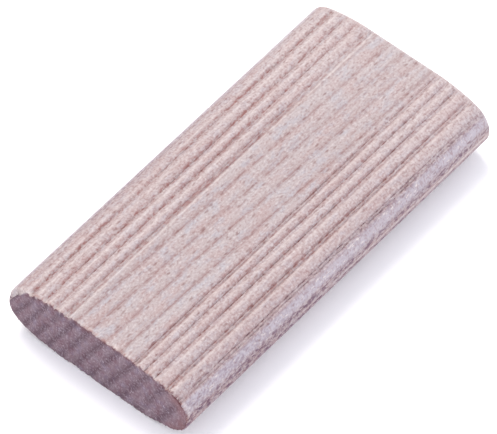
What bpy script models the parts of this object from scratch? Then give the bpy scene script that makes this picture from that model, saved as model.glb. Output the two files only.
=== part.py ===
"""Loose tenon, nominal 6 x 20 x 40 mm: one piece of beech, fluted lengthwise on both faces.

Half of its length is glued into a mortise in each of two boards. The section is a flat oval: a level
band down the middle of each face, shoulders that fall away gently, and full round edges. Flutes run
from end to end beside the band and carry the glue. They stand wider apart towards the edges.

Metres, +Z up. X runs along the tenon and Y across its width. The origin is the middle of the tenon,
where the joint line of the two boards crosses it.
"""

import math

import bmesh
import bpy
from mathutils import Matrix, Vector

# Overall size
LENGTH = 0.040
WIDTH = 0.0196
THICKNESS = 0.0064

# Section
FLAT_BAND = 0.0074
EDGE_RADIUS = 0.00265
SHOULDER_STEPS = 8
EDGE_STEPS = 18

# Ends
END_ROUND = 0.0001
END_ROUND_SEGMENTS = 2

# Flutes, counted from the border of the flat band outwards
FLUTES_PER_SIDE = 5
FLUTE_PITCH = 0.00114
PITCH_GROWTH = 1.11
FLUTE_WIDTH = 0.0007
FLUTE_DEPTH = 0.00028
FLUTE_ROOT_RADIUS = 0.00012
FLUTE_ROOT_STEPS = 4
FLUTE_OVERCUT = 0.0002
FLUTE_RUN_OUT = 0.002

# Wood
BEECH_COLOUR = (0.644, 0.539, 0.539, 1.0)
BEECH_ROUGHNESS = 0.75

# The section is drawn in a curve's own XY plane. This turn lays its X across the tenon, its Y up
# and its extrusion along the tenon.
LENGTHWISE = Matrix.Rotation(math.pi / 2, 4, "Z") @ Matrix.Rotation(math.pi / 2, 4, "X")


def clear_objects():
    """Remove every object of the open scene."""
    for old in list(bpy.data.objects):
        bpy.data.objects.remove(old, do_unlink=True)


def new_collection(name):
    """Return a new collection linked to the scene."""
    collection = bpy.data.collections.new(name)
    bpy.context.scene.collection.children.link(collection)
    return collection


def wood_material(name, colour, roughness):
    """Return a plain Principled material."""
    material = bpy.data.materials.new(name)
    material.use_nodes = True
    shader = material.node_tree.nodes["Principled BSDF"]
    shader.inputs["Base Color"].default_value = colour
    shader.inputs["Roughness"].default_value = roughness
    shader.inputs["Metallic"].default_value = 0.0
    return material


class Section:
    """The flat oval, seen along the tenon: flat band, shoulder arc and edge arc, each tangent."""

    def __init__(self):
        self.half_band = FLAT_BAND / 2
        self.edge_radius = min(EDGE_RADIUS, 0.98 * THICKNESS / 2)
        self.edge_centre = WIDTH / 2 - self.edge_radius
        reach = self.edge_centre - self.half_band
        # The shoulder arc leaves the flat band level and meets the edge arc without a corner.
        self.shoulder_radius = (
            reach**2 + (THICKNESS / 2) ** 2 - self.edge_radius**2
        ) / (THICKNESS - 2 * self.edge_radius)
        self.shoulder_drop = self.shoulder_radius - THICKNESS / 2
        self.shoulder_angle = math.atan2(reach, self.shoulder_drop)
        self.shoulder_end = self.half_band + self.shoulder_radius * self.shoulder_angle

    def on_shoulder(self, lean):
        """Return the shoulder point where the surface leans outwards by this angle."""
        return Vector((
            self.half_band + self.shoulder_radius * math.sin(lean),
            self.shoulder_radius * math.cos(lean) - self.shoulder_drop,
        ))

    def on_edge(self, lean):
        """Return the edge point where the surface leans outwards by this angle."""
        return Vector((
            self.edge_centre + self.edge_radius * math.sin(lean),
            self.edge_radius * math.cos(lean),
        ))

    def at(self, distance):
        """Return the point and lean at a distance along the surface from the middle of a face."""
        if distance <= self.half_band:
            return Vector((distance, THICKNESS / 2)), 0.0
        if distance <= self.shoulder_end:
            lean = (distance - self.half_band) / self.shoulder_radius
            return self.on_shoulder(lean), lean
        lean = self.shoulder_angle + (distance - self.shoulder_end) / self.edge_radius
        return self.on_edge(lean), lean

    def outline(self):
        """Return the closed outline, running round from the middle of the right-hand edge."""
        top = self.shoulder_angle
        quarter = [
            self.on_edge(math.pi / 2 + (top - math.pi / 2) * i / (EDGE_STEPS // 2))
            for i in range(EDGE_STEPS // 2)
        ]
        quarter += [
            self.on_shoulder(top * (1 - i / SHOULDER_STEPS)) for i in range(SHOULDER_STEPS + 1)
        ]
        left_up = [Vector((-p.x, p.y)) for p in reversed(quarter)]
        upper = quarter + left_up
        lower = [Vector((p.x, -p.y)) for p in reversed(upper[1:-1])]
        return upper + lower


def flute_outline():
    """Return the outline of a flute's cutter: a round root and two straight, opening walls."""
    half = FLUTE_WIDTH / 2
    root = min(FLUTE_ROOT_RADIUS, 0.9 * FLUTE_DEPTH, 0.9 * half)
    centre = Vector((0.0, root - FLUTE_DEPTH))
    mouth = Vector((half, 0.0)) - centre
    # The wall from the flute's mouth touches the root circle at this angle below level.
    touch = math.acos(root / mouth.length) - math.atan2(mouth.y, mouth.x)
    wall_run = math.tan(touch) * FLUTE_OVERCUT
    points = [Vector((half + wall_run, FLUTE_OVERCUT))]
    for i in range(FLUTE_ROOT_STEPS + 1):
        angle = -touch - (math.pi - 2 * touch) * i / FLUTE_ROOT_STEPS
        points.append(centre + root * Vector((math.cos(angle), math.sin(angle))))
    points.append(Vector((-half - wall_run, FLUTE_OVERCUT)))
    return points


def prism(name, outline, length):
    """Return a closed mesh: a flat outline extruded to both sides of its plane."""
    curve = bpy.data.curves.new(name + "_outline", "CURVE")
    curve.dimensions = "2D"
    curve.fill_mode = "BOTH"
    curve.extrude = length / 2
    spline = curve.splines.new("POLY")
    spline.points.add(len(outline) - 1)
    for point, place in zip(spline.points, outline):
        point.co = (place.x, place.y, 0.0, 1.0)
    spline.use_cyclic_u = True
    holder = bpy.data.objects.new(name + "_outline", curve)
    bpy.context.scene.collection.objects.link(holder)
    evaluated = holder.evaluated_get(bpy.context.evaluated_depsgraph_get())
    mesh = bpy.data.meshes.new_from_object(evaluated)
    mesh.name = name
    bpy.data.objects.remove(holder, do_unlink=True)
    bpy.data.curves.remove(curve)

    shape = bmesh.new()
    shape.from_mesh(mesh)
    bmesh.ops.remove_doubles(shape, verts=shape.verts, dist=1e-6)
    bmesh.ops.dissolve_limit(
        shape, angle_limit=math.radians(0.1), verts=shape.verts, edges=shape.edges
    )
    bmesh.ops.recalc_face_normals(shape, faces=shape.faces)
    shape.to_mesh(mesh)
    shape.free()
    return mesh


def flute_places(section):
    """Yield the place and lean of every flute, on both faces and on both sides of the band."""
    distance = FLAT_BAND / 2
    gap = FLUTE_PITCH
    for _ in range(FLUTES_PER_SIDE):
        place, lean = section.at(distance)
        yield place, -lean
        yield Vector((-place.x, place.y)), lean
        yield Vector((place.x, -place.y)), math.pi + lean
        yield Vector((-place.x, -place.y)), math.pi - lean
        distance += gap
        gap *= PITCH_GROWTH


def add_flute_cutters(section, collection):
    """Fill the collection with one cutter for each flute."""
    mesh = prism("flute", flute_outline(), LENGTH + 2 * FLUTE_RUN_OUT)
    for number, (place, turn) in enumerate(flute_places(section), start=1):
        cutter = bpy.data.objects.new(f"flute_cutter_{number:02d}", mesh)
        cutter.location = (0.0, place.x, place.y)
        cutter.rotation_euler = (LENGTHWISE @ Matrix.Rotation(turn, 4, "Z")).to_euler()
        cutter.hide_render = True
        cutter.display_type = "WIRE"
        collection.objects.link(cutter)


def add_tenon(section, collection, cutters):
    """Make the tenon: the oval strip cut to length, its ends eased, its flutes run through."""
    tenon = bpy.data.objects.new("tenon", prism("tenon", section.outline(), LENGTH))
    tenon.rotation_euler = LENGTHWISE.to_euler()
    collection.objects.link(tenon)
    tenon.data.materials.append(wood_material("beech", BEECH_COLOUR, BEECH_ROUGHNESS))

    ease = tenon.modifiers.new("eased ends", "BEVEL")
    ease.limit_method = "ANGLE"
    ease.angle_limit = math.radians(60)
    ease.width = END_ROUND
    ease.segments = END_ROUND_SEGMENTS
    ease.use_clamp_overlap = True

    flutes = tenon.modifiers.new("flutes", "BOOLEAN")
    flutes.operation = "DIFFERENCE"
    flutes.solver = "EXACT"
    flutes.operand_type = "COLLECTION"
    flutes.collection = cutters

    tenon.data.shade_smooth()
    tenon.data.set_sharp_from_angle(angle=math.radians(25))
    return tenon


def main():
    clear_objects()
    parts = new_collection("loose_tenon")
    cutters = new_collection("cutters")
    section = Section()
    add_flute_cutters(section, cutters)
    add_tenon(section, parts, cutters)


main()
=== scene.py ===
"""Loose tenon of beech, dressed: pressed flutes, sawn ends, growth rings and ray flecks.

Metres, +Z up. X runs along the grain. The tenon lies on its lower face on a pale table.
"""

from __future__ import annotations

import logging
import math
from dataclasses import dataclass
from enum import Enum
from typing import Any, Iterable

import bmesh
import bpy
from bmesh.types import BMesh, BMVert
from bpy.types import Material, Node, NodeSocket, NodeTree, Object
from mathutils import Matrix, Vector, noise


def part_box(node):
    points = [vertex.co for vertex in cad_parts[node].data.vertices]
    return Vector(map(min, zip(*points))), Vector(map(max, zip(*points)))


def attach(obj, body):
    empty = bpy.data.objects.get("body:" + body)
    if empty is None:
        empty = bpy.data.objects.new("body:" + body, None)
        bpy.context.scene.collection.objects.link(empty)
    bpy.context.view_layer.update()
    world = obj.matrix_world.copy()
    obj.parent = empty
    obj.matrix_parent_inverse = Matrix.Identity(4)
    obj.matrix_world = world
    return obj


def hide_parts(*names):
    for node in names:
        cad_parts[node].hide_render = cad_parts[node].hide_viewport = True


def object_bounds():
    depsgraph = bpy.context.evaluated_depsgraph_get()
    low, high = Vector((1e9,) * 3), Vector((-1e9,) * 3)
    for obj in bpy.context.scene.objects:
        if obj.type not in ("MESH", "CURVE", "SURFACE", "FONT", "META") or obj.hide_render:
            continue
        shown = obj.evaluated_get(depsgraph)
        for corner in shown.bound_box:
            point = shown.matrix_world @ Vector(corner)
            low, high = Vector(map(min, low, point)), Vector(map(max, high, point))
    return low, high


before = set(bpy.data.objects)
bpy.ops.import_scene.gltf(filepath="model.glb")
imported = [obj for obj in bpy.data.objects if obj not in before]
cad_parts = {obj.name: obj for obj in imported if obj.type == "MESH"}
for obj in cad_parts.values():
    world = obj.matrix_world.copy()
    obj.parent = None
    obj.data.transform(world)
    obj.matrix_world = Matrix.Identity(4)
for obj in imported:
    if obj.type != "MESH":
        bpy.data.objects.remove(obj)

CAD_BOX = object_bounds()
MM = 0.001
PER_MM = 1000.0
# Surface marks, which carry painted light and shade as well as wear.
MARKS = ("stain", "lip", "polish", "scorch")
SMOOTH = {"interpolation_type": "SMOOTHSTEP"}
PRODUCT = {"operation": "MULTIPLY"}
SUM = {"operation": "MULTIPLY_ADD"}

log = logging.getLogger("loose_tenon")


# Colour and nodes


def linear_rgba(code: str) -> tuple[float, float, float, float]:
    """Turn an sRGB hex colour into linear values.

    Args:
        code: Six hex digits with a leading hash.

    Returns:
        Red, green, blue and a full alpha.
    """
    parts = [int(code[i : i + 2], 16) / 255 for i in (1, 3, 5)]
    red, green, blue = (p / 12.92 if p <= 0.04045 else ((p + 0.055) / 1.055) ** 2.4 for p in parts)
    return red, green, blue, 1.0


def add_node(tree: NodeTree, kind: str, settings: dict[str, Any], inputs: dict[Any, Any]) -> Any:
    """Add a node with its settings, values and links.

    Args:
        tree: The tree that takes the node.
        kind: The node's type, without the ShaderNode prefix.
        settings: Properties of the node itself.
        inputs: Values or source sockets by input name or number.

    Returns:
        The new node's output sockets.
    """
    node = tree.nodes.new("ShaderNode" + kind)
    for name, value in settings.items():
        setattr(node, name, value)
    for name, value in inputs.items():
        socket = node.inputs[name]
        if isinstance(value, NodeSocket):
            tree.links.new(value, socket)
        else:
            socket.default_value = value
    return node.outputs


# Finishes


@dataclass(frozen=True)
class Mottle:
    """A cloudy pattern in the wood, with cells of a set size.

    Attributes:
        cell: The cell's size in mm along X, Y and Z.
        detail: Octaves.
        shift: Cells by which it is moved, so that no two patterns are alike.
        low: The noise level that becomes 0 in the mask.
        high: The noise level that becomes 1.
    """

    cell: tuple[float, float, float]
    detail: float
    shift: float
    low: float = 0.0
    high: float = 1.0

    def raw(self, in_mm: Any) -> Any:
        """Add the pattern.

        Args:
            in_mm: The coordinate socket in mm.

        Returns:
            The noise's socket, mostly from 0.2 to 0.8.
        """
        tree = in_mm.id_data
        inputs = {
            "Vector": in_mm,
            "Location": (self.shift, self.shift * 1.7, self.shift * 0.6),
            "Scale": tuple(1.0 / size for size in self.cell),
        }
        mapped = add_node(tree, "Mapping", {}, inputs)[0]
        inputs = {"Vector": mapped, "Scale": 1.0, "Detail": self.detail, "Roughness": 0.55}
        return add_node(tree, "TexNoise", {}, inputs)["Fac"]

    def mask(self, in_mm: Any) -> Any:
        """Add the pattern, stretched between its levels to 0 to 1, and give its socket."""
        inputs = {"Value": self.raw(in_mm), "From Min": self.low, "From Max": self.high}
        return add_node(in_mm.id_data, "MapRange", SMOOTH, inputs)[0]


@dataclass(frozen=True)
class BeechRings:
    """Growth rings of the plank the tenon was moulded from, as nearly flat sheets.

    Attributes:
        shade: How dark the ring is: pairs of place in the ring and share, both 0 to 1.
        spacing: Ring width in mm in the middle of the tenon.
        narrowing: Share by which each ring towards +Y is narrower than the last.
        lean: How far a ring moves across per mm of height.
        drift: How far a ring moves across per mm of length.
        phase: Place half way between two ring borders in the middle, in mm.
        count: Rings counted up to that place, enough to stay above 0 at the -Y edge.
        waver: How far a ring wanders over several mm, in mm.
        waver_cells: The pattern that it wanders by.
        ripple: How far it wanders over a single mm, in mm.
        ripple_cells: The pattern of that.
    """

    shade: tuple[tuple[float, float], ...]
    spacing: float = 1.615
    narrowing: float = 0.0186
    lean: float = 0.525
    drift: float = 0.027
    phase: float = -0.19
    count: float = 40.5
    waver: float = 0.14
    waver_cells: Mottle = Mottle((22.0, 2.9, 2.9), 2.0, 0.0)
    ripple: float = 0.1
    ripple_cells: Mottle = Mottle((2.5, 0.7, 0.7), 2.0, 5.0)

    def build(self, tree: NodeTree) -> tuple[Any, Any]:
        """Add the nodes that give the place in the wood and the ring's shade there.

        Args:
            tree: The material's tree.

        Returns:
            The coordinate socket in mm and the socket of the shade.
        """
        inputs = {0: add_node(tree, "TexCoord", {}, {})["Object"], "Scale": PER_MM}
        in_mm = add_node(tree, "VectorMath", {"operation": "SCALE"}, inputs)[0]
        inputs = {0: in_mm, 1: (self.drift, 1.0, self.lean)}
        across = add_node(tree, "VectorMath", {"operation": "DOT_PRODUCT"}, inputs)["Value"]
        for cells, reach in ((self.waver_cells, self.waver), (self.ripple_cells, self.ripple)):
            inputs = {0: cells.raw(in_mm), 1: 2.0 * reach, 2: across}
            across = add_node(tree, "Math", SUM, inputs)[0]
        inputs = {0: across, 1: 1.0 / self.spacing, 2: -self.phase / self.spacing}
        even = add_node(tree, "Math", SUM, inputs)[0]
        growth = add_node(tree, "Math", SUM, {0: even, 1: self.narrowing, 2: 1.0})[0]
        rings = add_node(tree, "Math", SUM, {0: even, 1: growth, 2: self.count})[0]
        place = add_node(tree, "Math", {"operation": "FRACT"}, {0: rings})[0]
        shade = add_node(tree, "ValToRGB", {}, {"Fac": place})[0]
        stops = shade.node.color_ramp.elements
        while len(stops) < len(self.shade):
            stops.new(1.0)
        for stop, (position, dark) in zip(stops, self.shade):
            stop.position = position
            stop.color = (dark, dark, dark, 1.0)
        return in_mm, shade


@dataclass(frozen=True)
class Finish:
    """What all finishes share.

    Attributes:
        name: The material's name.
        roughness: From 0, glossy, to 1, matt.
        ior: Index of refraction.
        gloss: Specular level.
    """

    name: str
    roughness: float
    ior: float
    gloss: float

    def start(self) -> tuple[Material, NodeTree, Node]:
        """Make the material with the values that are the same all over.

        Returns:
            The material, its tree and its shader.
        """
        material = bpy.data.materials.new(self.name)
        material.use_nodes = True
        shader = material.node_tree.nodes["Principled BSDF"]
        shader.inputs["Roughness"].default_value = self.roughness
        shader.inputs["IOR"].default_value = self.ior
        shader.inputs["Specular IOR Level"].default_value = self.gloss
        return material, material.node_tree, shader


@dataclass(frozen=True)
class WoodFinish(Finish):
    """What both finishes of the wood share.

    Attributes:
        ground: Colour that the coats lie on.
        relief: Height of the fine relief in metres.
        relief_share: How strongly it shows.
    """

    ground: str
    relief: float = 0.06 * MM
    relief_share: float = 0.8

    def dress(self, shader: Node, in_mm: Any, coats: Iterable[tuple[Any, ...]], height: Any) -> None:
        """Lay coats of colour on the ground and raise the fine relief.

        Args:
            shader: The shader that takes both.
            in_mm: The coordinate socket in mm.
            coats: Each coat's colour, then the patterns, sockets or share that limit it.
            height: The relief's socket.
        """
        tree = shader.id_data
        colour: Any = linear_rgba(self.ground)
        for top, *limits in coats:
            top = linear_rgba(top) if isinstance(top, str) else top
            cover, *others = (
                limit.mask(in_mm) if isinstance(limit, Mottle) else limit for limit in limits
            )
            for other in others:
                cover = add_node(tree, "Math", PRODUCT, {0: cover, 1: other})[0]
            inputs = {0: cover, 6: colour, 7: top}
            colour = add_node(tree, "Mix", {"data_type": "RGBA"}, inputs)[2]
        tree.links.new(colour, shader.inputs["Base Color"])
        inputs = {"Height": height, "Strength": self.relief_share, "Distance": self.relief}
        tree.links.new(add_node(tree, "Bump", {}, inputs)[0], shader.inputs["Normal"])


@dataclass(frozen=True)
class MouldedBeech(WoodFinish):
    """Steamed beech, moulded and pressed along the grain, unfinished.

    The eye gets a matt pinkish ground with mottled fuzz, soft ring lines, short red-brown ray flecks,
    darker, reddish torn wood in the flutes, partly painted shade that grows with their depth, painted
    highlights beside them, and smoother round edges with a painted cool sheen and glints.

    Attributes:
        polished: Roughness of the round edges.
        band_border: Where the plain band passes into the fluted wood, in mm from the middle.
        bleach: Where along X the wood grows paler, in mm.
        ray_cells: Cells per mm of the ray flecks, spindles about 0.5 mm long and 0.2 mm wide.
        feed_scale: Wave scale of the cross marks that the feed leaves 0.37 mm apart.
    """

    name: str = "moulded_beech"
    roughness: float = 0.78
    ior: float = 1.45
    gloss: float = 0.25
    ground: str = "#ACA1A0"
    rose: str = "#A99795"
    cool: str = "#A7A4A9"
    pale: str = "#C1B8B6"
    blush: str = "#B7A19E"
    ring: str = "#886A68"
    fleck: str = "#6E4A46"
    # Torn roots, darkened partly as painted shade in the flutes.
    root: str = "#864B44"
    # Pale fibres, also used for painted highlights and glints.
    lip: str = "#CDC3BF"
    # Painted cool sheen of the rubbed round edges.
    polish: str = "#B2ABB2"
    # Burn colours, also used for painted shade in the root lines and on the +Y edge.
    singe: str = "#5E4155"
    char: str = "#633B3A"
    polished: float = 0.5
    band_border: tuple[float, float] = (3.3, 3.9)
    bleach: tuple[float, float] = (5.0, 18.0)
    ray_cells: tuple[float, float, float] = (1.3, 3.3, 3.3)
    feed_scale: float = 0.85
    # A ring starts dark, pales slowly and darkens within its last tenth.
    rings: BeechRings = BeechRings(
        ((0.0, 1.0), (0.06, 0.7), (0.15, 0.34), (0.4, 0.1), (0.84, 0.0), (0.94, 0.5))
    )
    # Slow drifts of tint, several mm long, and fibre bundles that run the whole length.
    tint: Mottle = Mottle((3.2, 1.1, 1.1), 2.0, 3.1, 0.42, 0.7)
    haze: Mottle = Mottle((1.4, 0.6, 0.6), 3.0, 11.7, 0.45, 0.7)
    streak: Mottle = Mottle((26.0, 0.34, 0.34), 1.0, 51.0, 0.5, 0.26)
    # Fuzz and grit of torn fibres, 0.2 to 0.3 mm.
    fuzz: Mottle = Mottle((0.27, 0.19, 0.19), 4.0, 2.2)
    grit: Mottle = Mottle((0.16, 0.32, 0.32), 1.0, 71.0, 0.5, 0.68)
    # Gaps in the ring lines, tufts of standing fibres, and painted glints of sheen.
    broken: Mottle = Mottle((0.45, 0.4, 0.4), 2.0, 21.0, 0.2, 0.6)
    frayed: Mottle = Mottle((0.4, 0.2, 0.2), 3.0, 31.0, 0.28, 0.6)
    glint: Mottle = Mottle((0.6, 0.26, 0.26), 2.0, 37.0, 0.56, 0.7)
    # Torn beads about half a millimetre long, and burnt specks.
    beat: Mottle = Mottle((0.5, 0.26, 0.26), 3.0, 7.9, 0.4, 0.64)
    burnt: Mottle = Mottle((0.42, 0.2, 0.2), 3.0, 17.0, 0.42, 0.62)

    def build(self) -> Material:
        """Make the material.

        Returns:
            The material.
        """
        material, tree, shader = self.start()
        in_mm, ring_shade = self.rings.build(tree)
        stain, lip, polish, scorch = (
            add_node(tree, "Attribute", {"attribute_name": mark}, {})["Fac"] for mark in MARKS
        )
        broken, beat, burnt = (
            pattern.mask(in_mm) for pattern in (self.broken, self.beat, self.burnt)
        )
        fuzz = self.fuzz.raw(in_mm)
        spot = add_node(tree, "SeparateXYZ", {}, {0: in_mm})
        across = add_node(tree, "Math", {"operation": "ABSOLUTE"}, {0: spot[1]})[0]
        ray_places = {"Vector": in_mm, "Scale": self.ray_cells, "Location": (0.4, 0.2, 0.9)}
        spindles = add_node(tree, "Mapping", {}, ray_places)[0]
        cells = add_node(tree, "TexVoronoi", {}, {"Vector": spindles, "Scale": 1.0})
        tone = add_node(tree, "SeparateColor", {}, {"Color": cells["Color"]})[0]
        fluted, bleached, standing, lost, torn, ray, chosen = (
            add_node(tree, "MapRange", SMOOTH, {"Value": value, "From Min": low, "From Max": high})[0]
            for value, low, high in (
                (across, *self.band_border),
                (spot[0], *self.bleach),
                (fuzz, 0.5, 0.72),
                (fuzz, 0.5, 0.3),
                (stain, 0.2, 1.0),
                (cells["Distance"], 0.5, 0.1),
                (tone, 0.72, 0.84),
            )
        )
        # The rubbed edges have half as much fuzz.
        rough = add_node(tree, "Math", SUM, {0: polish, 1: -0.5, 2: 1.0})[0]
        # The press smears the rings between the flutes, and they are fainter in the paler third.
        smeared = add_node(tree, "Math", SUM, {0: fluted, 1: -0.7, 2: 1.0})[0]
        smeared = add_node(tree, "Math", SUM, {0: bleached, 1: -0.3, 2: smeared})[0]
        ring_line = add_node(tree, "Math", PRODUCT, {0: ring_shade, 1: broken})[0]
        ring_line = add_node(tree, "Math", PRODUCT, {0: ring_line, 1: smeared})[0]
        beads = add_node(tree, "Math", SUM, {0: beat, 1: 0.76, 2: 0.02})[0]
        specks = add_node(tree, "Math", SUM, {0: burnt, 1: 0.7, 2: 0.2})[0]
        # The burn colour also paints shade.
        inputs = {0: stain, 6: linear_rgba(self.singe), 7: linear_rgba(self.char)}
        burn = add_node(tree, "Mix", {"data_type": "RGBA"}, inputs)[2]
        coats = (
            (self.rose, self.tint),
            (self.cool, self.haze, 0.8),
            # The pressed wood is a little pinker than the plain band, and the far third paler.
            (self.blush, fluted, 0.28),
            (self.pale, bleached, 0.18),
            # The round edges are rubbed smooth by the moulding; their cooler, paler colour is a
            # painted cool sheen of the side light.
            (self.polish, polish, 0.9),
            (self.ring, self.streak, 0.26),
            # Fuzz is pale where it stands up and dark where it is gone.
            (self.pale, standing, rough, 0.75),
            (self.ring, lost, rough, 0.5),
            (self.ring, self.grit, fluted, 0.4),
            (self.ring, ring_line, 0.93),
            (self.fleck, ray, chosen, 0.5),
            # Standing fibres are pale, with painted highlights beside the flutes and below the seam,
            # and the rubbed edges hold painted glints.
            (self.lip, lip, self.frayed),
            (self.lip, polish, self.glint),
            # The press tears the roots in beads; the mark grows with depth and on the shaded +Y wall,
            # so it is partly painted shade.
            (self.root, torn, beads),
            # Blunt cutters burn the seam, the worn flute and the rim in dark specks; the same coat
            # paints shade in the flutes' root lines and on the +Y edge.
            (burn, scorch, specks),
        )
        inputs = {"Vector": in_mm, "Scale": self.feed_scale, "Distortion": 3.0, "Detail Scale": 1.2}
        feed = add_node(tree, "TexWave", {}, inputs)["Fac"]
        height = add_node(tree, "Math", SUM, {0: ring_line, 1: -0.4, 2: fuzz})[0]
        height = add_node(tree, "Math", SUM, {0: feed, 1: 0.12, 2: height})[0]
        self.dress(shader, in_mm, coats, height)
        inputs = {"Value": polish, "To Min": self.roughness, "To Max": self.polished}
        tree.links.new(add_node(tree, "MapRange", {}, inputs)[0], shader.inputs["Roughness"])
        return material


@dataclass(frozen=True)
class SawnEndGrain(WoodFinish):
    """Beech cut across the grain with a fine saw.

    The eye gets a darker face, since open pores swallow light, with a mauve tint that is partly
    painted cool fill light, leaning ring bands, a peppering of pores, pale flecks where rays are cut,
    and a scorched rim.
    """

    name: str = "sawn_end_grain"
    roughness: float = 0.88
    ior: float = 1.45
    gloss: float = 0.2
    # The mauve tint is partly painted cool fill light.
    ground: str = "#85727A"
    dark: str = "#523E48"
    pale: str = "#A99BA4"
    warm: str = "#785D66"
    violet: str = "#7D7389"
    flush: str = "#8F6562"
    singe: str = "#5E3234"
    fibre: str = "#C9BDBB"
    rings: BeechRings = BeechRings(
        ((0.0, 0.9), (0.1, 0.75), (0.26, 0.38), (0.48, 0.12), (0.7, 0.04), (0.9, 0.7))
    )
    cloud: Mottle = Mottle((0.8, 0.8, 1.2), 3.0, 4.0, 0.38, 0.68)
    tinge: Mottle = Mottle((0.9, 0.7, 0.9), 2.0, 61.0, 0.5, 0.7)
    broken: Mottle = Mottle((2.4, 2.0, 2.0), 2.0, 9.0, 0.22, 0.5)
    pores: Mottle = Mottle((0.22, 0.22, 0.22), 3.0, 1.0)
    clusters: Mottle = Mottle((2.0, 1.5, 1.5), 2.0, 41.0, 0.4, 0.65)
    rays: Mottle = Mottle((0.5, 0.16, 0.34), 3.0, 14.0, 0.54, 0.7)
    burnt: Mottle = Mottle((0.5, 0.5, 0.5), 3.0, 23.0, 0.25, 0.55)

    def build(self) -> Material:
        """Make the material.

        Returns:
            The material.
        """
        material, tree, shader = self.start()
        in_mm, ring_shade = self.rings.build(tree)
        stain, lip, scorch = (
            add_node(tree, "Attribute", {"attribute_name": mark}, {})["Fac"]
            for mark in ("stain", "lip", "scorch")
        )
        pores = self.pores.raw(in_mm)
        filled, hollow = (
            add_node(tree, "MapRange", SMOOTH, {"Value": pores, "From Min": 0.5, "From Max": high})[0]
            for high in (0.7, 0.3)
        )
        coats = (
            (self.warm, self.cloud),
            (self.violet, self.tinge, 0.36),
            (self.dark, ring_shade, self.broken, 0.84),
            (self.pale, filled, 0.42),
            (self.dark, hollow, 0.34),
            (self.pale, self.rays, self.clusters, 0.85),
            # The saw flushes the wood inside the rim, burns the rim and leaves pale fibres.
            (self.flush, stain, 0.36),
            (self.singe, scorch, self.burnt),
            (self.fibre, lip, 0.9),
        )
        self.dress(shader, in_mm, coats, pores)
        return material


@dataclass(frozen=True)
class PaleTable(Finish):
    """Matt white laminate, which gives a plain bright ground."""

    name: str = "pale_table"
    roughness: float = 0.9
    ior: float = 1.5
    gloss: float = 0.1
    colour: str = "#FBFBFB"

    def build(self) -> Material:
        """Make the material.

        Returns:
            The material.
        """
        material, _, shader = self.start()
        shader.inputs["Base Color"].default_value = linear_rgba(self.colour)
        return material


# The tenon


class Wear(Enum):
    """How well a flute is pressed."""

    SHARP = "sharp"
    WORN = "worn"


@dataclass(frozen=True)
class Flute:
    """One pressed flute with two fine lines in its root, all sizes in mm.

    Attributes:
        place: Distance along the surface from the middle of the face, + towards +Y.
        left: Depth of the line on the -Y side.
        right: Depth of the line on the +Y side.
        wear: How well it is pressed.
        gap: Distance between the two lines.
        wall: Width of each wall.
        singe: How darkly a blunt cutter burned it, 0 to 1.
        crest: Distance of the pale standing fibres, partly a painted highlight on the wall that faces
            the light, from the line on the -Y side.
        ridge: Share of the depth that is lost half way between the two lines.
        line: How dark the two lines are, 0 to 1: partly burn, partly painted shade in the root's
            corners.
        ends: Share of its depth that it gains towards both ends.
    """

    place: float
    left: float
    right: float
    wear: Wear = Wear.SHARP
    gap: float = 0.24
    wall: float = 0.42
    singe: float = 0.0
    crest: float = 0.2
    ridge: float = 0.34
    line: float = 0.0
    ends: float = 0.0

    @property
    def reach(self) -> float:
        """Half the width of the mouth."""
        return self.gap / 2 + self.wall

    def profile(self, offset: float) -> float:
        """Give the depth at a signed distance from the flute's middle.

        Args:
            offset: Distance from the middle in mm, + towards +Y.

        Returns:
            Depth in mm, 0 outside the mouth.
        """
        beyond = abs(offset) - self.gap / 2
        if beyond > 0:
            line = self.right if offset > 0 else self.left
            return line * max(0.0, 1.0 - beyond / self.wall) ** 2
        share = (offset + self.gap / 2) / self.gap
        crest = 1.0 - self.ridge * math.sin(math.pi * share) ** 2
        return (self.left + (self.right - self.left) * share) * crest


@dataclass(frozen=True)
class OvalSection:
    """The flat oval section, all sizes in mm: flat band, shoulder arc and edge arc.

    Attributes:
        width: Across the tenon.
        thickness: Through the flat bands.
        flat_band: Width of each flat band.
        edge_radius: Radius of the round edges.
    """

    width: float
    thickness: float
    flat_band: float = 7.4
    edge_radius: float = 2.65

    @property
    def edge_centre(self) -> float:
        """Distance of the edge arc's centre from the middle."""
        return self.width / 2 - self.edge_radius

    @property
    def shoulder_radius(self) -> float:
        """Radius of the arc that is tangent to the flat band and to the edge arc."""
        reach, half = self.edge_centre - self.flat_band / 2, self.thickness / 2
        return (reach**2 + half**2 - self.edge_radius**2) / (2 * (half - self.edge_radius))

    @property
    def shoulder_drop(self) -> float:
        """How far the centre of the shoulder's arc lies below the middle of the tenon."""
        return self.shoulder_radius - self.thickness / 2

    @property
    def shoulder_angle(self) -> float:
        """Lean of the surface where the shoulder meets the edge arc."""
        reach = self.edge_centre - self.flat_band / 2
        return math.atan2(reach, self.shoulder_drop)

    @property
    def shoulder_end(self) -> float:
        """Distance along the surface from the middle of a face to the edge arc."""
        return self.flat_band / 2 + self.shoulder_radius * self.shoulder_angle

    @property
    def half_way(self) -> float:
        """Distance along the surface from the middle of a face to the widest point."""
        return self.shoulder_end + self.edge_radius * (math.pi / 2 - self.shoulder_angle)

    def at(self, distance: float) -> tuple[float, float, float]:
        """Give a surface point and its lean.

        Args:
            distance: Along the surface from the middle of a face, in mm, not negative.

        Returns:
            Place across, place up and lean of the normal from upright.
        """
        half = self.flat_band / 2
        if distance <= half:
            return distance, self.thickness / 2, 0.0
        if distance <= self.shoulder_end:
            across, drop, radius = half, self.shoulder_drop, self.shoulder_radius
            lean = (distance - half) / radius
        else:
            across, drop, radius = self.edge_centre, 0.0, self.edge_radius
            lean = self.shoulder_angle + (distance - self.shoulder_end) / radius
        return across + radius * math.sin(lean), radius * math.cos(lean) - drop, lean


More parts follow.
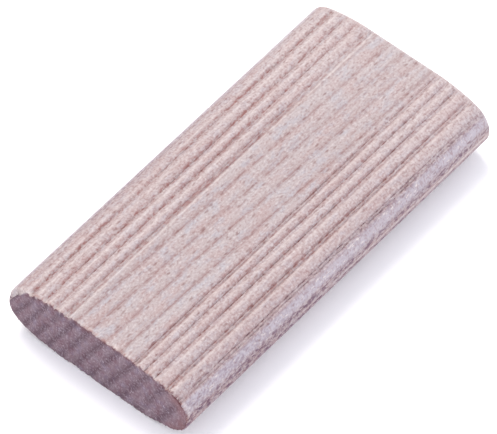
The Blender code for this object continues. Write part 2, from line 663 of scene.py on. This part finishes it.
@dataclass(frozen=True)
class Spot:
    """A place on the smooth oval, in mm.

    Attributes:
        along: Place along X.
        signed: Distance along the surface from the middle of the face, + towards +Y.
        face: 1 on the upper face, -1 on the lower.
        height: Place up, from -1 at the lower face to 1 at the upper.
        near: Distance from the near end.
        far: Distance from the far end.
    """

    along: float
    signed: float
    face: int
    height: float
    near: float
    far: float


@dataclass
class Touch:
    """What moulding, pressing and sawing did to one spot of the surface, and the light and shade
    painted on it.

    Attributes:
        depth: How deep it lies under the smooth oval, in mm.
        stain: How much the wood is torn and darkened, 0 to 1; in the flutes it grows with depth and
            on the +Y wall, as partly painted shade.
        lip: How much pale fibre stands up, 0 to 1, with painted highlights beside the flutes and
            below the seam.
        polish: How smooth it is rubbed, 0 to 1, which also sets the painted cool sheen and glints.
        scorch: How much a blunt cutter or the saw burned it, 0 to 1, with painted shade in the
            flutes' root lines and on the +Y edge.
    """

    depth: float = 0.0
    stain: float = 0.0
    lip: float = 0.0
    polish: float = 0.0
    scorch: float = 0.0

    def lift(self, **marks: float) -> None:
        """Raise each named mark to a value, unless it is higher already."""
        for name, value in marks.items():
            setattr(self, name, max(getattr(self, name), value))


def rise(value: float, low: float, high: float) -> float:
    """Ease from 0 at the low value to 1 at the high value."""
    share = min(1.0, max(0.0, (value - low) / (high - low)))
    return share * share * (3.0 - 2.0 * share)


def bell(value: float, width: float) -> float:
    """Give 1 at 0, falling off smoothly to both sides over the width."""
    return math.exp(-((value / width) ** 2))


def wander(x: float, y: float, z: float) -> float:
    """Give smooth noise between -1 and 1, in cells of 1."""
    return noise.noise(Vector((x, y, z)))


@dataclass
class Tenon:
    """The fluted tenon as one fine closed mesh. Sizes in mm.

    Attributes:
        node: The solid that this piece stands for.
        left_flutes: Place and line depths of the flutes on the -Y side.
        right_flutes: The same on the +Y side.
        crests: Further rows of pale standing fibres and painted highlights: place and strength.
        full_depth: Depth that counts as fully pressed.
        skin: How far the ground lies under the solid's surface.
        grain: How much that varies.
        crisp: Rounding of the near end's upper corner.
        bruised: Rounding of its knocked corner at the +Y edge.
        blunt: Rounding of the near end's lower corner.
        far_ease: Rounding of the far end's corner.
        chip_reach: How far from the near end fibres are chipped.
        chip_depth: How deep the chips are.
        rim_reach: How far from the near end the saw marks the upper face.
        fade: Length over which the flutes grow faint at the far end.
        easing: Share of their depth that the flutes lose at the far end, and half as much near.
        skew: How far the outer flutes on the +Y side move outwards per mm of length.
        skew_from: Place from which they do.
        sway: How far a flute strays from its line.
        seam: Distance along the surface of the line that the moulding leaves.
        slant: How far that line climbs per mm of length.
        seam_above: How far its scorch reaches towards the face.
        seam_below: How far it reaches the other way.
        seam_groove: Half the width of its groove.
        corner: Distance along the surface where the columns give way to edge rows.
        edge_rows: Rows round each long edge.
        lengths: Steps along the tenon.
        end_gaps: Distances of the first steps from each end.
        root_gap: Distance between the columns in a flute's root.
        wall_gaps: Distances of the columns in a flute's walls from its middle.
        least_gap: Columns that lie closer than this are merged.
        widest_gap: Widest distance between columns.
    """

    node: str = "tenon"
    left_flutes: tuple[Flute, ...] = (
        Flute(-4.04, 0.18, 0.22, gap=0.27, wall=0.36, ridge=0.5, line=0.32),
        Flute(-5.17, 0.12, 0.22, wall=0.37, line=0.26),
        Flute(-6.24, 0.13, 0.23, wall=0.36, line=0.26),
        Flute(-7.58, 0.21, 0.24, gap=0.28, wall=0.37, ridge=0.45, line=0.32),
        Flute(-9.08, 0.12, 0.12, Wear.WORN, gap=0.3, wall=0.2, singe=0.6, ridge=0.6, line=0.8),
    )
    right_flutes: tuple[Flute, ...] = (
        Flute(3.42, 0.19, 0.22, gap=0.3),
        Flute(4.66, 0.14, 0.25, crest=0.32),
        Flute(5.88, 0.15, 0.27, crest=0.34),
        Flute(7.42, 0.13, 0.23, crest=0.5, ends=0.55),
        Flute(9.15, 0.05, 0.07, Wear.WORN, singe=0.08),
    )
    crests: tuple[tuple[float, float], ...] = ((3.02, 0.6), (-4.44, 0.44), (-5.52, 0.35), (7.93, 0.4))
    full_depth: float = 0.28
    skin: float = 0.012
    grain: float = 0.006
    crisp: float = 0.08
    bruised: float = 0.62
    blunt: float = 0.13
    far_ease: float = 0.25
    chip_reach: float = 0.4
    chip_depth: float = 0.25
    rim_reach: float = 0.7
    fade: float = 1.1
    easing: float = 0.2
    skew: float = 0.0045
    skew_from: float = 4.0
    sway: float = 0.022
    seam: float = 10.97
    slant: float = 0.0075
    seam_above: float = 0.9
    seam_below: float = 0.42
    seam_groove: float = 0.35
    corner: float = 9.8
    edge_rows: int = 18
    lengths: int = 190
    end_gaps: tuple[float, ...] = (0.002, 0.025, 0.08, 0.16, 0.27, 0.4)
    root_gap: float = 0.06
    wall_gaps: tuple[float, ...] = (0.28, 0.4, 0.54)
    least_gap: float = 0.045
    widest_gap: float = 0.19

    def __post_init__(self) -> None:
        """Read the solid's box and lay out the grid."""
        self.low, self.high = ([v * PER_MM for v in corner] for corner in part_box(self.node))
        self.section = OvalSection(self.high[1] - self.low[1], self.high[2] - self.low[2])
        self.flutes = self.left_flutes + self.right_flutes
        self.columns = self.column_places()
        self.stations = self.length_places()

    def column_places(self) -> list[float]:
        """Lay out the columns across a face, close together in the flutes.

        Returns:
            Signed distances along the surface, from one corner to the other.
        """
        places = {-self.corner, 0.0, self.corner}
        for flute in self.flutes:
            half = flute.gap / 2
            root = (0.0, half - self.root_gap, half, half + self.root_gap)
            for offset in root + self.wall_gaps:
                places.update((flute.place + offset, flute.place - offset))
        ordered = sorted(p for p in places if abs(p) <= self.corner)
        kept = [ordered[0]]
        for place in ordered[1:]:
            if place - kept[-1] > self.least_gap:
                kept.append(place)
        kept[-1] = self.corner
        filled = [kept[0]]
        for start, stop in zip(kept, kept[1:]):
            steps = math.ceil((stop - start) / self.widest_gap)
            filled += [start + (stop - start) * i / steps for i in range(1, steps + 1)]
        return filled

    def length_places(self) -> list[float]:
        """Lay out the steps along the tenon, close together at the ends.

        Returns:
            Places along X in mm.
        """
        start = [self.low[0] + gap for gap in self.end_gaps]
        stop = [self.high[0] - gap for gap in reversed(self.end_gaps)]
        steps = self.lengths - len(start) - len(stop) + 1
        middle = [start[-1] + (stop[0] - start[-1]) * i / steps for i in range(1, steps)]
        return start + middle + stop

    def skewed(self, place: float, along: float) -> float:
        """Give the place of a flute or crest here, since the outer ones run slightly askew."""
        return place + (self.skew * along if place > self.skew_from else 0.0)

    def end_inset(self, spot: Spot) -> float:
        """Give how far the eased corner of an end draws the surface in.

        Args:
            spot: The place on the oval.

        Returns:
            Inset in mm.
        """
        if spot.near < spot.far:
            gap = spot.near
            radius = self.blunt + (self.crisp - self.blunt) * (spot.height + 1.0) / 2
            knocked = rise(spot.signed, 7.6, 9.0) * rise(spot.height, -0.3, 0.4)
            radius += (self.bruised - radius) * knocked
        else:
            gap, radius = spot.far, self.far_ease
        gap = min(gap, radius)
        return radius - math.sqrt(radius**2 - (radius - gap) ** 2)

    def press_flutes(self, touch: Touch, spot: Spot) -> None:
        """Press the flutes in, with torn roots, burned lines and pale fibres beside them, partly
        painted shade in the roots and painted highlights on the side that faces the light.

        Args:
            touch: The marks so far, which are added to.
            spot: The place on the oval.
        """
        along, signed, face = spot.along, spot.signed, spot.face
        faint = 1.0 if spot.far > self.fade else 0.35 + 0.65 * spot.far / self.fade
        faint *= 1.0 - self.easing * (rise(along, 5.0, 17.0) + 0.5 * rise(-along, 8.0, 17.0))
        late = rise(along, -12.0, 8.0)
        for number, flute in enumerate(self.flutes):
            place = self.skewed(flute.place, along)
            if abs(signed - place) > flute.reach + 0.4:
                continue
            # Each flute has its own noise on each face: a slow drift, and beats of 0.4 mm.
            lane = 17.0 * number + 190.0 * face
            slow = wander(along * 0.45, lane, 5.0)
            beat = wander(along * 2.7, lane, signed * 4.0)
            share = 1.0 + 0.1 * slow + 0.3 * beat + flute.ends * (along / self.high[0]) ** 2
            if flute.wear is Wear.WORN:
                share += 0.5 * slow + 0.6 * beat
            # Beside the near end the flutes are deeper on the upper face, shallower on the lower.
            share = max(0.15, share) * faint * (1.0 + 0.4 * face * rise(spot.near, 1.2, 0.0))
            offset = signed - place - self.sway * wander(along * 0.25, lane, 0.0)
            depth = flute.profile(offset) * share
            # The root darkens with depth and on the +Y wall, which faces away from the light: torn
            # wood, partly painted shade.
            torn_wall = 0.8 * bell(offset - 0.24, 0.16) * flute.right * share
            touch.lift(depth=depth, stain=max(depth, torn_wall) / self.full_depth)
            # Pale fibres on the -Y side of the flute, on the wall that faces the light: partly a
            # painted highlight.
            if flute.wear is Wear.SHARP:
                crest = bell(offset + flute.gap / 2 + flute.crest, 0.12)
                touch.lift(lip=0.62 * crest * share * flute.right / self.full_depth)
            # The burn in a worn flute widens towards the far end, and so do the thin lines, which are
            # partly painted shade in the root's corners, darker on the +Y line that faces away from
            # the light.
            burn = bell(offset + 0.16 * late, 0.2 + 0.18 * late)
            thin = bell(abs(offset) - flute.gap / 2, 0.075) * share
            thin *= 1.0 if offset > 0 else 0.55 + 0.3 * late
            touch.lift(scorch=max(flute.singe * (0.3 + 0.7 * late) * burn, flute.line * thin))
        # Further rows of pale fibres, partly painted highlights.
        for place, strength in self.crests:
            touch.lift(lip=strength * bell(signed - self.skewed(place, along), 0.11))

    def mould_edges(self, touch: Touch, spot: Spot) -> None:
        """Rub the round edges smooth, which also lays their painted cool sheen, and leave the torn,
        scorched seam low on them, with painted light below it and painted shade on the +Y edge.

        Args:
            touch: The marks so far, which are added to.
            spot: The place on the oval.
        """
        along, signed = spot.along, spot.signed
        beyond = self.seam - self.slant * along - abs(signed)
        wide = self.seam_above if beyond > 0 else self.seam_below
        if abs(beyond) < wide:
            torn = max(0.35, 1.05 + 0.6 * wander(along * 1.6, spot.face * 9.0, signed))
            torn *= 1.0 - 0.016 * along
            groove = max(0.0, 1.0 - abs(beyond) / self.seam_groove) ** 2
            touch.lift(depth=(0.1 - 0.004 * along) * groove * torn)
            touch.lift(scorch=1.1 * (1.0 - abs(beyond) / wide) * torn)
        # Below the seam the lower edge, which faces the table, is painted lighter. Above it the -Y
        # edge is dull towards the near end, and the +Y edge gets painted shade, most of all near the
        # middle.
        touch.lift(lip=(0.43 + 0.009 * along) * rise(beyond, -0.3, -0.6))
        dull = rise(-along, -3.0, 14.0) * rise(-signed, 8.0, 8.4)
        dull *= 0.3 + 0.14 * rise(-signed, 9.0, 9.6)
        grey = 0.3 + 0.34 * bell(along + 5.0, 8.0) - 0.008 * max(0.0, along)
        touch.lift(scorch=max(dull, grey * rise(signed, 8.2, 9.2)))
        # Rubbed edges; the same mark lays the painted cool sheen and glints.
        touch.lift(polish=rise(abs(signed), 9.2, 9.6) * rise(abs(signed), 10.8, 10.1))

    def saw_upper_rim(self, touch: Touch, spot: Spot) -> None:
        """Fray and singe the upper face beside the near end.

        Args:
            touch: The marks so far, which are changed.
            spot: The place on the oval.
        """
        near, signed = spot.near, spot.signed
        touch.stain *= 0.35 + 0.65 * rise(near, 0.1, self.rim_reach)
        fray = 0.24 + wander(signed * 1.4, 2.0, 6.0) + 1.6 * touch.depth
        # The rim is burned darkest at the -Y edge, and not at all at the bruise.
        corner = rise(-signed, 7.4, 7.9)
        knock = corner * rise(-signed, 9.2, 8.8)
        sound = rise(signed, 8.0, 7.0)
        bits = (0.3 + wander(signed * 2.1, 9.0, 6.0) + 0.8 * corner) * sound
        touch.lift(lip=rise(near, 0.02, 0.1) * rise(near, 0.6, 0.2) * fray)
        touch.lift(stain=0.66 * rise(near, 0.55, 0.15) * sound)
        touch.lift(scorch=rise(near, 0.16 + 0.12 * corner + 0.2 * knock, 0.04) * bits)

    def mark_corners(self, touch: Touch, spot: Spot) -> None:
        """Mark the bruise and the torn rim at the near end, and the far end's singed corner.

        Args:
            touch: The marks so far, which are added to.
            spot: The place on the oval.
        """
        near, signed = spot.near, spot.signed
        upper = (spot.face + spot.height) / 2
        bruise = rise(near, 0.5, 0.3) * rise(signed, 7.6, 8.6) * upper
        torn_rim = 0.6 * rise(near, 0.16, 0.28) * rise(near, 0.55, 0.35) * rise(-signed, 9.3, 9.6)
        touch.lift(lip=max(bruise, torn_rim, 0.45 * rise(spot.far, 0.35, 0.12)))
        touch.lift(scorch=rise(spot.far, 0.2, 0.05) * (0.3 + wander(signed * 2.7, 3.0, 1.0)))

    def touch(self, spot: Spot) -> Touch:
        """Give what moulding, pressing and sawing did to a spot, and the light and shade painted on
        it.

        Args:
            spot: The place on the oval.

        Returns:
            The spot's depth and its marks.
        """
        touch = Touch()
        self.press_flutes(touch, spot)
        self.mould_edges(touch, spot)
        if spot.near < self.rim_reach and spot.face > 0:
            self.saw_upper_rim(touch, spot)
        self.mark_corners(touch, spot)
        patch = wander(spot.along * 0.35, spot.signed * 2.2, spot.face * 8.0)
        ground = self.skin + self.grain * patch
        touch.depth = max(ground + touch.depth, self.end_inset(spot) + 0.3 * ground)
        for mark in MARKS:
            setattr(touch, mark, min(1.0, getattr(touch, mark)))
        return touch

    def rim_marks(self, point: Vector) -> tuple[float, float]:
        """Give what the saw did to a spot of the near end, by its distance from the rim.

        Args:
            point: The spot in mm.

        Returns:
            The scorch and stain marks, 0 to 1.
        """
        section = self.section
        reach = abs(point.y)
        if reach > section.edge_centre:
            gap = section.edge_radius - math.hypot(reach - section.edge_centre, point.z)
        else:
            bend = max(0.0, reach - section.flat_band / 2)
            arc = math.sqrt(section.shoulder_radius**2 - bend**2)
            gap = arc - section.shoulder_drop - point.z
        patch = wander(point.y * 0.9, point.z * 0.9, 7.0)
        edge = rise(-point.y, 6.8, 8.6)
        flushed = (0.9 + 0.9 * patch) * rise(gap, 1.5, 0.3) * edge
        burned = (0.2 + patch + 0.45 * edge) * rise(gap, 0.3, 0.0)
        return min(1.0, max(0.0, burned)), min(1.0, max(0.0, flushed))

    def chipped(self, spot: Spot) -> float:
        """Move a place near the sawn end in where fibres have broken off.

        Args:
            spot: The place on the oval.

        Returns:
            The moved place along X in mm.
        """
        if spot.near >= self.chip_reach:
            return spot.along
        signed = spot.signed
        torn = abs(wander(signed * 1.9, 4.0, 0.0)) + 0.6 * abs(wander(signed * 5.3, 8.0, 0.0))
        return spot.along + self.chip_depth * torn * (1.0 - spot.near / self.chip_reach)

    def surface(self, along: float, signed: float, face: int) -> tuple[Vector, Touch]:
        """Give a finished surface point.

        Args:
            along: Place along X in mm.
            signed: Distance along the surface from the middle of the face, + towards +Y.
            face: 1 on the upper face, -1 on the lower.

        Returns:
            The point in mm and its marks.
        """
        across, up, lean = self.section.at(abs(signed))
        height = face * up / (self.section.thickness / 2)
        spot = Spot(along, signed, face, height, along - self.low[0], self.high[0] - along)
        touch = self.touch(spot)
        across -= touch.depth * math.sin(lean)
        up -= touch.depth * math.cos(lean)
        return Vector((self.chipped(spot), math.copysign(across, signed), face * up)), touch

    def rim_point(self, along: float, column: int, row: int) -> tuple[Vector, Touch]:
        """Give the surface point at a place on the grid's border.

        Args:
            along: Place along X in mm.
            column: Column number, 0 to the last.
            row: Row number, 0 at the bottom.

        Returns:
            The point in mm and its marks.
        """
        if row in (0, self.edge_rows):
            return self.surface(along, self.columns[column], 1 if row else -1)
        side = 1 if column else -1
        share = 2.0 * row / self.edge_rows - 1.0
        distance = self.corner + (self.section.half_way - self.corner) * (1.0 - abs(share))
        return self.surface(along, side * distance, 1 if share >= 0 else -1)

    def end_point(self, along: float, column: int, row: int) -> Vector:
        """Give a point of a flat end face, filled in evenly between the border's points.

        Args:
            along: Place along X in mm.
            column: Column number.
            row: Row number.

        Returns:
            The point in mm.
        """
        last, top = len(self.columns) - 1, self.edge_rows
        u, v = column / last, row / top
        borders = (0, row), (last, row), (column, 0), (column, top)
        corners = (0, 0), (last, 0), (0, top), (last, top)
        left, right, low, high, *angles = (
            self.rim_point(along, c, r)[0] for c, r in borders + corners
        )
        cross = angles[0].lerp(angles[1], u).lerp(angles[2].lerp(angles[3], u), v)
        point = left.lerp(right, u) + low.lerp(high, v) - cross
        point.x = along
        return point

    def grid_box(self) -> BMesh:
        """Make a box whose ends are grids and whose sides are cut into even steps.

        Returns:
            The box, from 0 to 1 along each axis, with the end faces' material set.
        """
        shape = bmesh.new()
        columns, rows = len(self.columns) - 1, self.edge_rows
        bmesh.ops.create_grid(shape, x_segments=columns, y_segments=rows, size=0.5)
        grown = bmesh.ops.extrude_face_region(shape, geom=list(shape.faces), use_keep_orig=True)
        moved = [g for g in grown["geom"] if isinstance(g, BMVert)]
        bmesh.ops.translate(shape, vec=(0.0, 0.0, 1.0), verts=moved)
        bmesh.ops.translate(shape, vec=(0.5, 0.5, 0.0), verts=shape.verts)
        lengthwise = [e for e in shape.edges if abs(e.verts[0].co.z - e.verts[1].co.z) > 0.5]
        cuts = len(self.stations) - 2
        bmesh.ops.subdivide_edges(shape, edges=lengthwise, cuts=cuts, use_grid_fill=True)
        for face in shape.faces:
            face.smooth = True
            face.material_index = 1 if abs(face.calc_center_median().z - 0.5) > 0.4999 else 0
        return shape

    def mould(self, shape: BMesh) -> None:
        """Move the box's points to the tenon's surface and give them their marks.

        Args:
            shape: The box, which is changed.
        """
        layers = {mark: shape.verts.layers.float.new(mark) for mark in MARKS}
        last_column, last_station = len(self.columns) - 1, len(self.stations) - 1
        for vert in shape.verts:
            column = round(vert.co.x * last_column)
            row = round(vert.co.y * self.edge_rows)
            along = self.stations[round(vert.co.z * last_station)]
            if 0 < column < last_column and 0 < row < self.edge_rows:
                vert.co = self.end_point(along, column, row)
                if along < 0:
                    vert[layers["scorch"]], vert[layers["stain"]] = self.rim_marks(vert.co)
                continue
            vert.co, touch = self.rim_point(along, column, row)
            for mark, layer in layers.items():
                vert[layer] = getattr(touch, mark)
        bmesh.ops.scale(shape, vec=(MM, MM, MM), verts=shape.verts)
        bmesh.ops.recalc_face_normals(shape, faces=shape.faces)

    def build(self, *finishes: Material) -> Object:
        """Shape the tenon and dress it.

        Args:
            finishes: The finish of the faces and edges, then that of the sawn ends.

        Returns:
            The finished piece.
        """
        shape = self.grid_box()
        self.mould(shape)
        mesh = bpy.data.meshes.new("fluted_tenon")
        shape.to_mesh(mesh)
        shape.free()
        for finish in finishes:
            mesh.materials.append(finish)
        mesh.set_sharp_from_angle(angle=math.radians(50))
        piece = bpy.data.objects.new("fluted_tenon", mesh)
        bpy.context.scene.collection.objects.link(piece)
        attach(piece, "root")
        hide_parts(self.node)
        return piece


# Table, light and camera


@dataclass(frozen=True)
class AreaLight:
    """A soft box that points at the tenon.

    Attributes:
        name: Object name.
        azimuth: Direction it stands in, in degrees from +X towards +Y.
        elevation: Height above the horizon in degrees.
        distance: Metres from the tenon.
        size: Side in metres.
        power: Watts.
        colour: sRGB hex.
    """

    name: str
    azimuth: float
    elevation: float
    distance: float
    size: float
    power: float
    colour: str

    def build(self) -> None:
        """Make the light."""
        data = bpy.data.lights.new(self.name, "AREA")
        data.shape = "SQUARE"
        data.size = self.size
        data.energy = self.power
        data.color = linear_rgba(self.colour)[:3]
        lamp = bpy.data.objects.new(self.name, data)
        azimuth, elevation = math.radians(self.azimuth), math.radians(self.elevation)
        away = Vector((
            math.cos(azimuth) * math.cos(elevation),
            math.sin(azimuth) * math.cos(elevation),
            math.sin(elevation),
        ))
        lamp.location = away * self.distance
        lamp.rotation_euler = away.to_track_quat("Z", "Y").to_euler()
        bpy.context.scene.collection.objects.link(lamp)


@dataclass(frozen=True)
class Camera:
    """The camera, placed as the photograph's.

    Attributes:
        azimuth: 0 looks along +Y, in degrees.
        elevation: Height above the horizon in degrees.
        roll: Turn about the line of sight in degrees.
        distance: Metres from the tenon's middle.
        lens: Focal length in mm on a 36 mm sensor.
        aside: How far the camera stands to the left of that line, in mm.
        below: How far it stands below that line, in mm.
    """

    azimuth: float = -51.783
    elevation: float = 52.925
    roll: float = 2.016
    distance: float = 0.54655
    lens: float = 470.27
    aside: float = 0.270
    below: float = 0.245

    def build(self) -> None:
        """Make the camera and hand it to the scene."""
        data = bpy.data.cameras.new("camera")
        data.sensor_width = 36.0
        data.lens = self.lens
        data.clip_start = 0.02
        data.clip_end = 20.0
        holder = bpy.data.objects.new("camera", data)
        turn = Matrix.Rotation(math.radians(self.azimuth), 4, "Z")
        turn @= Matrix.Rotation(math.radians(90.0 - self.elevation), 4, "X")
        turn @= Matrix.Rotation(math.radians(self.roll), 4, "Z")
        place = Vector((-self.aside * MM, -self.below * MM, self.distance))
        holder.matrix_world = turn @ Matrix.Translation(place)
        bpy.context.scene.collection.objects.link(holder)
        bpy.context.scene.camera = holder


@dataclass
class Studio:
    """White table, broad soft light from behind, and pale walls all round.

    Attributes:
        table_side: Side of the table in metres.
        wall_colour: Colour of the light from the walls.
        wall_strength: Its strength.
        lights: The soft boxes.
    """

    table_side: float = 6.0
    wall_colour: str = "#F7F8FF"
    wall_strength: float = 1.03
    lights: tuple[AreaLight, ...] = (
        AreaLight("key_soft_box", 60.0, 59.5, 1.0, 0.5, 7.2, "#FFF9F4"),
        AreaLight("side_fill", -110.0, 25.0, 1.0, 0.8, 3.8, "#EEEEFF"),
    )

    def build(self, floor_level: float, finish: Material) -> None:
        """Make the table, the walls' light and the soft boxes.

        Args:
            floor_level: Height of the table's top in metres.
            finish: The table's material.
        """
        shape = bmesh.new()
        bmesh.ops.create_grid(shape, x_segments=2, y_segments=2, size=self.table_side / 2)
        bmesh.ops.translate(shape, vec=(0.0, 0.0, floor_level), verts=shape.verts)
        mesh = bpy.data.meshes.new("table")
        shape.to_mesh(mesh)
        shape.free()
        mesh.materials.append(finish)
        table = bpy.data.objects.new("table", mesh)
        bpy.context.scene.collection.objects.link(table)
        world = bpy.data.worlds.new("pale_walls")
        world.use_nodes = True
        background = world.node_tree.nodes["Background"]
        background.inputs["Color"].default_value = linear_rgba(self.wall_colour)
        background.inputs["Strength"].default_value = self.wall_strength
        bpy.context.scene.world = world
        for light in self.lights:
            light.build()
        bpy.context.scene.view_settings.view_transform = "Standard"


def main() -> None:
    """Build the tenon, then the studio round it."""
    logging.basicConfig(level=logging.INFO, format="%(message)s")
    piece = Tenon().build(MouldedBeech().build(), SawnEndGrain().build())
    piece.data.calc_loop_triangles()
    log.info("%s: %d triangles", piece.name, len(piece.data.loop_triangles))
    Studio().build(CAD_BOX[0][2], PaleTable().build())
    log.info("table and lights in place")
    Camera().build()
    log.info("camera in place")


if __name__ == "__main__":
    main()
